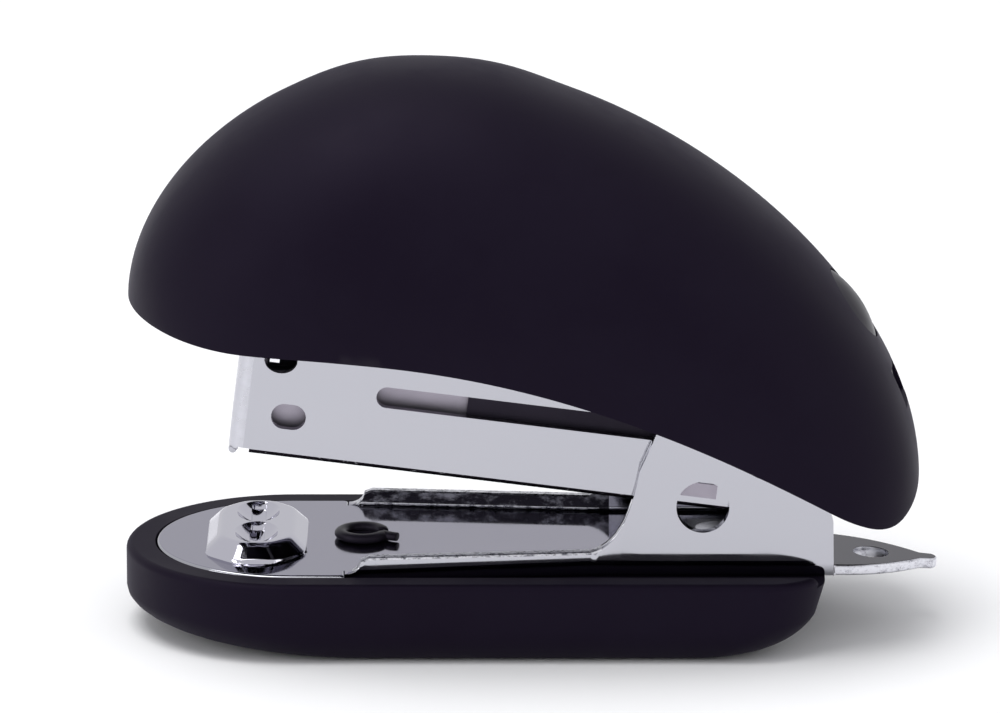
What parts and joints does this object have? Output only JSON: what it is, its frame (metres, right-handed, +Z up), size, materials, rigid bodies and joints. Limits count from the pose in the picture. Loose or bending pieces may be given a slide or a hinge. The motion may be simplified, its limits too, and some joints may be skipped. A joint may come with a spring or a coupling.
{
  "type": "mini stapler",
  "caption": "Palm-size stapler with a domed black head, a chrome magazine and plate on a moulded base, and a staple remover tongue at the tail.",
  "frame": {"origin": "centre of the base moulding's flat underside", "axes": "+X from the nose to the tail along the stapler, +Y across it, +Z up"},
  "size_m": [0.0674, 0.0334, 0.0475],
  "materials": {
    "soft_touch_black": "soft-touch, very fine grain",
    "chrome_plate": "bright plated pressed sheet",
    "spring_steel": "drawn, oiled",
    "plated_steel": "dull plated",
    "black_nylon": "moulded, smooth",
    "gloss_black": "polished",
    "frame_black": "black oxide sheet"
  },
  "bodies": {
    "base": {"base_shell": "soft_touch_black", "base_plate": "chrome_plate", "anvil": "chrome_plate", "plate_clip": "black_nylon", "staple_remover": "chrome_plate", "remover_rivets": "plated_steel", "lift_spring": "spring_steel"},
    "magazine": {"magazine_channel": "chrome_plate", "staple_rail": "plated_steel", "rod_bracket": "chrome_plate", "guide_rod": "plated_steel", "rod_anchor": "plated_steel", "follower_spring": "spring_steel", "pivot_rivets": "plated_steel"},
    "follower": {"staple_follower": "black_nylon"},
    "head": {"head_shell": "soft_touch_black", "head_frame": "frame_black", "driver_blade": "spring_steel", "driver_rivets": "plated_steel", "frame_screws": "plated_steel", "return_spring": "spring_steel", "spine_inlay": "gloss_black", "tail_bar": "gloss_black"}
  },
  "joints": [
    {"name": "magazine_tilt", "type": "hinge", "parent": "base", "child": "magazine", "pos_m": [0.0242, 0, 0.0175], "axis": [0, -1, 0], "range_deg": [0, 10], "stiffness_Nm_per_rad": 0.3, "springref_deg": -17.19, "deforming": ["lift_spring"]},
    {"name": "head_press", "type": "hinge", "parent": "magazine", "child": "head", "pos_m": [0.0242, 0, 0.0175], "axis": [0, -1, 0], "range_deg": [-18, 10], "stiffness_Nm_per_rad": 0.5, "deforming": ["return_spring"]},
    {"name": "follower_slide", "type": "slide", "parent": "magazine", "child": "follower", "axis": [0.9921, 0, -0.1253], "range_m": [0, 0.016], "stiffness_N_per_m": 60, "springref_m": -0.02, "deforming": ["follower_spring"]}
  ]
}
